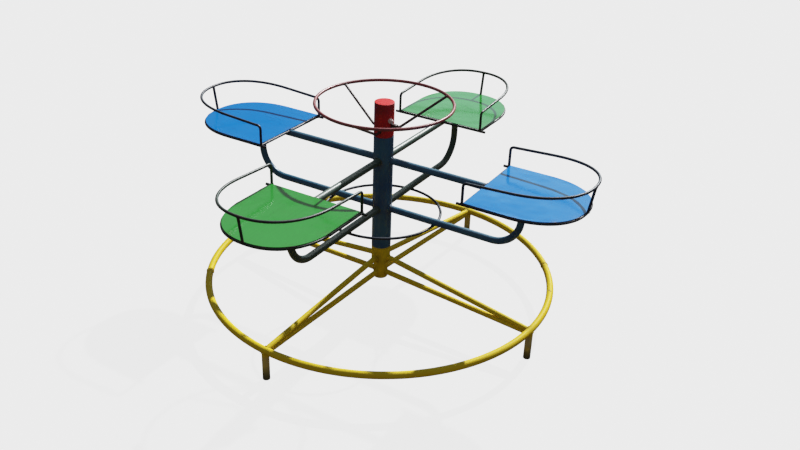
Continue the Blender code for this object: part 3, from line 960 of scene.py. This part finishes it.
plateLow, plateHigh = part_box("seat_plate_1")
frameLow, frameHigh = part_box("seat_frame_1")
railLow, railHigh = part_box("seat_rail_1")
seat = {
    "straight": 0.600, "roundness": 2.25, "halfWidth": plateHigh.y, "dents": 0.003, "edgeRound": 0.0006,
    "innerRail": 0.714, "outerRail": 0.736, "railBend": 0.014, "postBead": 0.0019,
    "sillInset": 0.0015, "sillStub": 0.022, "sillAtArm": 0.010}
seatBar = {"radius": rodRadius, "step": 0.0035, "sides": 14, "unevenness": 0.0005, "endRound": 0.0007}
stitches = {
    "length": 0.022, "places": (0.06, 0.19, 0.33, 0.43, 0.57, 0.67, 0.81, 0.94), "proud": 0.0006,
    "raised": 0.0002, "bead": 0.002}
platePaints = ("blueSeatEnamel", "greenSeatEnamel")
plateSlots = ("blue_seat_paint", "green_seat_paint")
rodPaints = ("navyRodEnamel", "darkGreenRodEnamel")
rodSlots = ("navy_rod_paint", "dark_green_rod_paint")
rodHeight = (frameLow.z + frameHigh.z) / 2
sill = plateLow.x - seat["sillInset"]
innerPost = railLow.x + rodRadius
outerRail = railHigh.x - rodRadius


def seatEnd(outer, steps=72):
    # the rounded outer end of a seat in plan, from one straight side round to the other
    near, power = seat["straight"], 2 / seat["roundness"]
    points = []
    for angle in np.linspace(-pi / 2, pi / 2, steps + 1):
        swing = copysign(abs(sin(angle)) ** power, sin(angle))
        points.append((near + (outer - near) * abs(cos(angle)) ** power, seat["halfWidth"] * swing))
    return points


def makePlate(number, kind, turn):
    source = linked("seat_start", bpy.data.meshes.new("seat_start"))
    plate = grown(source, f"seat_sheet_{number}", seatPlate, {
        "Inner Edge": plateLow.x, "Straight End": seat["straight"], "Outer End": plateHigh.x,
        "Half Width": seat["halfWidth"], "Roundness": seat["roundness"], "Underside": plateLow.z,
        "Thickness": plateHigh.z - plateLow.z, "Dents": seat["dents"], "Turn": turn,
        "Pattern Shift": float(shifts["plate"] * number), "Paint": enamel[platePaints[kind]]})
    softenEnds(plate, seat["edgeRound"])
    keepPiece(plate, "rotor", plateSlots[kind], f"seat_plate_{number}")


def makeFrame(number, kind, turn, look):
    # a blue seat's side rods run on past the sill along its inner edge, and a green seat's sill past them
    half = seat["halfWidth"]
    if kind == 0:
        sideStart, sillEnd = frameLow.x, half - rodRadius * 0.4
    else:
        sideStart, sillEnd = sill + rodRadius * 0.4, half + seat["sillStub"]
    plan = [(sideStart, -half), *seatEnd(plateHigh.x), (sideStart, half)]
    runs = [[Vector((x, y, rodHeight)) for x, y in plan]]
    for side in (-1, 1):
        runs.append([Vector((sill, side * y, rodHeight)) for y in (seat["sillAtArm"], sillEnd)])
    runs = [turnRun(run, turn) for run in runs]
    bars = makeBar(f"seat_frame_bar_{number}", runs, look, shifts["frame"] + number * 3)
    softenEnds(bars, seatBar["endRound"])
    keepPiece(bars, "rotor", rodSlots[kind], f"seat_frame_{number}")


def makeRail(number, kind, turn, look):
    low, high = seat["innerRail"], seat["outerRail"]
    slope = (high - low) / (outerRail - innerPost)
    top = [Vector((x, y, low + slope * (x - innerPost))) for x, y in seatEnd(outerRail)]
    sides = [side * seat["halfWidth"] for side in (-1, 1)]
    feet = [Vector((innerPost, y, rodHeight + rodRadius * 0.6)) for y in sides]
    corners = [Vector((innerPost, y, low)) for y in sides]
    points = [
        feet[0], *bend(feet[0], corners[0], top[0], seat["railBend"], 8), *top,
        *bend(top[-1], corners[1], feet[1], seat["railBend"], 8), feet[1]]
    rail = makeBar(f"seat_rail_bar_{number}", [turnRun(points, turn)], look, shifts["rail"] + number * 3)
    keepPiece(rail, "rotor", rodSlots[kind], f"seat_rail_{number}")

    base = Vector((plateHigh.x + rodRadius * 0.45, 0, rodHeight + rodRadius * 0.5))
    head = Vector((outerRail, 0, high))
    points = turnRun((base, head - (head - base).normalized() * sunk), turn)
    post = makeBar(f"back_post_bar_{number}", [points], look, shifts["backPost"] + number * 3)
    keepPiece(post, "rotor", rodSlots[kind], f"back_post_{number}")
    return base, head


def seatWelds(kind, base, head):
    half, size = seat["halfWidth"], seat["postBead"]
    welds = []
    for side in (-1, 1):
        y = side * half
        sideRod = straight(Vector((0, y, rodHeight)), Vector((1, y, rodHeight)), rodRadius)
        start = Vector((innerPost, y, seat["innerRail"] - 0.03))
        welds.append(rodWeld(start, Vector((innerPost, y, rodHeight)), sideRod, size))
        place = Vector((sill, y, rodHeight))
        if kind == 0:
            welds.append(rodWeld(place - Vector((0, side * 0.03, 0)), place, sideRod, size))
        else:
            sillRod = straight(Vector((sill, 0, rodHeight)), place, rodRadius)
            welds.append(rodWeld(place + Vector((0.03, 0, 0)), place, sillRod, size))
        arm = straight(Vector((0, 0, armLevel)), Vector((1, 0, armLevel)), pipeRadius)
        start = Vector((sill, side * 0.05, rodHeight))
        welds.append(rodWeld(start, Vector((sill, 0, rodHeight)), arm, size))
    for end, rod in ((base, Vector((plateHigh.x, 0, rodHeight))), (head, head)):
        surface = straight(rod, rod + Vector((0, 1, 0)), rodRadius)
        welds.append(rodWeld(base.lerp(head, 0.5), end, surface, size))
    return welds + plateStitches()


def plateStitches():
    # short welds between the plate's edge and the rod under it, spread round the outline
    half = seat["halfWidth"]
    plan = [(plateLow.x, -half), *seatEnd(plateHigh.x), (plateLow.x, half)]
    outline = [Vector((x, y, 0)) for x, y in plan]
    lengths = np.concatenate([[0.0], np.cumsum([(b - a).length for a, b in zip(outline, outline[1:])])])
    reach = stitches["length"] / 2
    made = []
    for share in stitches["places"]:
        middle = share * lengths[-1]
        line = []
        for distance in np.linspace(middle - reach, middle + reach, 8):
            index = int(np.searchsorted(lengths, distance)) - 1
            index = min(max(index, 0), len(outline) - 2)
            part = (distance - lengths[index]) / (lengths[index + 1] - lengths[index])
            point = outline[index].lerp(outline[index + 1], part)
            way = (outline[index + 1] - outline[index]).normalized()
            outward = Vector((way.y, -way.x, 0)) * stitches["proud"]
            line.append(point + outward + Vector((0, 0, plateLow.z + stitches["raised"])))
        made.append((line, stitches["bead"], False))
    return made


def makeSeat(number, turn):
    kind = (number - 1) % 2
    makePlate(number, kind, turn)
    look = dict(seatBar, paint=rodPaints[kind])
    makeFrame(number, kind, turn, look)
    base, head = makeRail(number, kind, turn, look)
    welds, seed = seatWelds(kind, base, head), seeds["seat"] + number
    addWelds(f"seat_welds_{number}", "rotor", rodSlots[kind], rodPaints[kind], welds, seed, turn)


# Grime gathers at the welds and fades away from them

grimeReach = 0.016


def spreadGrime():
    for body, pieces in pieceBodies.items():
        tree = kdtree.KDTree(len(weldSpots[body]))
        for index, spot in enumerate(weldSpots[body]):
            tree.insert(spot, index)
        tree.balance()
        for piece in pieces:
            mesh = piece.data
            away = np.array([tree.find(vertex.co)[2] for vertex in mesh.vertices])
            amount = np.exp(-(away / grimeReach) ** 1.5).astype(np.float32)
            mesh.attributes.new("grime", "FLOAT", "POINT").data.foreach_set("value", amount)


makeBase()
print("yellow base made")
makeTop()
print("red top and handwheel made")
makeColumn()
print("column, arms and foot ring made")
for index, turn in enumerate(quarters, 1):
    makeSeat(index, turn)
print("seats made")
spreadGrime()
print("grime spread, pieces:", sum(len(found) for found in pieceBodies.values()))
